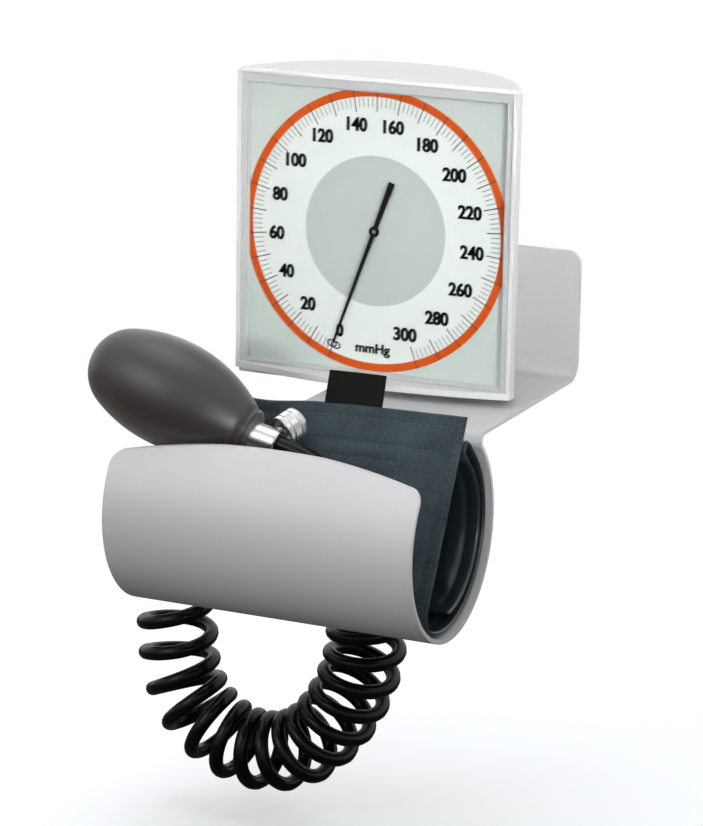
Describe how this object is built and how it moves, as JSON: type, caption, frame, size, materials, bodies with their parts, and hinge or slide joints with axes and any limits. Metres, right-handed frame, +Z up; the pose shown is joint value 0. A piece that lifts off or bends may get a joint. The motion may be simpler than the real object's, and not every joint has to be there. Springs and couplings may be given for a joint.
{
  "type": "wall sphygmomanometer",
  "caption": "Wall-mounted blood pressure gauge: square dial head swivelling on a sheet bracket with a cuff basket, rolled cuff, squeeze bulb with release valve and a curled hose.",
  "frame": {"origin": "centre of the four wall screws, on the wall plane (the back face of the bracket's wall plate)", "axes": "+Z up, +Y into the wall, +X to the right of someone who faces the dial"},
  "size_m": [0.2056, 0.2061, 0.3683],
  "materials": {
    "bracket_paint": "smooth satin white powder coat",
    "housing_plastic": "fine satin off-white moulded plastic",
    "frame_plastic": "satin light grey",
    "pane_glass": "clear polished flat pane",
    "dial_paint": "matt white with printed scale",
    "pointer_paint": "matt black",
    "movement_brass": "fine brushed",
    "capsule_metal": "spun, bright",
    "fitting_brass": "turned",
    "small_steel": "fine turned",
    "bolt_chrome": "polished nickel or chrome plate",
    "washer_nylon": "natural nylon",
    "ferrule_metal": "plain",
    "tube_rubber": "semi-gloss black-brown extruded tube",
    "moulded_rubber": "matt black",
    "bulb_rubber": "satin grey, soft sheen",
    "cuff_fabric": "slate blue-grey close woven nylon with stitching",
    "label_fabric": "plain black woven tab",
    "bladder_rubber": "thin smooth sheet"
  },
  "bodies": {
    "bracket": {"bracket_sheet": "bracket_paint", "pivot_bolt": "bolt_chrome", "seal_ring": "moulded_rubber", "pivot_washer": "washer_nylon", "wave_washer": "small_steel", "pivot_nut": "small_steel", "hose_ferrule": "ferrule_metal", "coiled_hose": "tube_rubber", "hose_tail": "tube_rubber", "hose_connector": "moulded_rubber", "cuff_roll": "cuff_fabric", "bladder": "bladder_rubber", "cuff_label": "label_fabric", "cuff_port": "moulded_rubber", "bulb": "bulb_rubber", "intake_valve": "bolt_chrome", "valve_body": "bolt_chrome", "valve_ring": "bolt_chrome", "bulb_hose": "tube_rubber"},
    "head": {"rear_shell": "housing_plastic", "base_plate": "housing_plastic", "base_screws": "small_steel", "window_frame": "frame_plastic", "window_pane": "pane_glass", "dial_plate": "dial_paint", "movement_plate": "movement_brass", "bridge_plate": "movement_brass", "pillars": "movement_brass", "dial_posts": "movement_brass", "pillar_screws": "small_steel", "capsule_angle": "movement_brass", "angle_screws": "small_steel", "pressure_capsule": "capsule_metal", "capsule_inlet": "fitting_brass", "inlet_nut": "fitting_brass", "inner_hose": "moulded_rubber", "swivel_cap": "fitting_brass", "hairspring": "capsule_metal"},
    "pointer_group": {"pointer": "pointer_paint", "pointer_bush": "fitting_brass", "pinion_shaft": "small_steel"},
    "sector_group": {"sector_gear": "movement_brass", "sector_shaft": "small_steel", "rocker_arm": "movement_brass"},
    "lift_group": {"capsule_boss": "fitting_brass", "lift_link": "small_steel", "link_pin": "small_steel"},
    "knob_group": {"release_knob": "bolt_chrome", "release_needle": "small_steel"}
  },
  "joints": [
    {"name": "head_swivel", "type": "hinge", "parent": "bracket", "child": "head", "pos_m": [0, -0.056, -0.0304], "axis": [0, 0, 1], "range_deg": [-45, 45]},
    {"name": "sector_turn", "type": "hinge", "parent": "head", "child": "sector_group", "pos_m": [0, -0.0583, 0.0775], "axis": [0, -1, 0], "range_deg": [0, 26.66], "stiffness_Nm_per_rad": 0.01, "springref_deg": -11.46},
    {"name": "pointer_turn", "type": "hinge", "parent": "head", "child": "pointer_group", "pos_m": [0, -0.0755, 0.045], "axis": [0, 1, 0], "range_deg": [0, 320]},
    {"name": "capsule_lift", "type": "slide", "parent": "head", "child": "lift_group", "axis": [0, 0, 1], "range_m": [0, 0.00375]},
    {"name": "knob_turn", "type": "hinge", "parent": "bracket", "child": "knob_group", "pos_m": [-0.00806, -0.15906, -0.03542], "axis": [0.4392, 0.8073, 0.3942], "range_deg": [0, 360]}
  ],
  "couplings": [
    {"joint": "pointer_turn", "follows": "sector_turn", "ratio": 12},
    {"joint": "capsule_lift", "follows": "sector_turn", "m_per_rad": 0.008}
  ]
}
